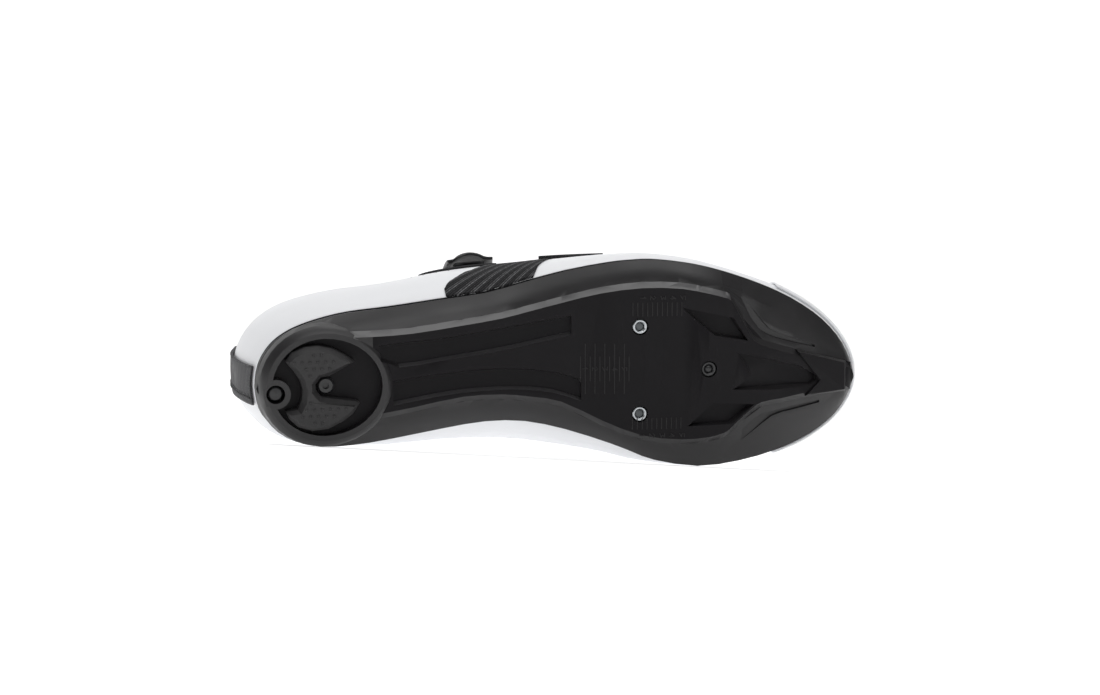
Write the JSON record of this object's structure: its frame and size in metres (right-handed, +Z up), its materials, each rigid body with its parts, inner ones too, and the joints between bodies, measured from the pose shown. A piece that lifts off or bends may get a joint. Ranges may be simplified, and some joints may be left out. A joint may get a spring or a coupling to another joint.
{
  "type": "cycling shoe",
  "caption": "Right road cycling shoe lying on its side: ribbed stiff sole with cleat nuts and heel pad, hollow white upper, black straps and buckle.",
  "frame": {"origin": "middle of the bounding box at floor level, with the shoe lying on its medial side", "axes": "+X from heel to toe, -Y the way the sole faces, +Z up, towards the lateral side of the shoe"},
  "size_m": [0.2896, 0.1098, 0.0962],
  "materials": {
    "sole_nylon": "satin moulded nylon",
    "upper_white": "smooth matt synthetic leather",
    "insole_lining": "matt",
    "tongue_mesh": "matt padded mesh",
    "cap_white": "smooth semi-matt",
    "heel_webbing": "woven",
    "pad_rubber": "matt",
    "screw_steel": "black",
    "stud_plastic": "satin",
    "nut_steel": "zinc plated",
    "nut_black": "black",
    "strap_webbing": "matt",
    "ladder_plastic": "matt",
    "buckle_plastic": "satin"
  },
  "bodies": {
    "root": {"outsole": "sole_nylon", "upper": "upper_white", "insole": "insole_lining", "tongue": "tongue_mesh", "toe_cap": "cap_white", "heel_strip": "heel_webbing", "heel_pad": "pad_rubber", "heel_pad_screw": "screw_steel", "heel_stud": "stud_plastic", "cleat_nut_lateral": "nut_steel", "cleat_nut_medial": "nut_steel", "cleat_nut_front": "nut_black", "forefoot_strap": "strap_webbing", "ladder_strap": "ladder_plastic", "buckle_cover": "buckle_plastic"}
  },
  "joints": []
}
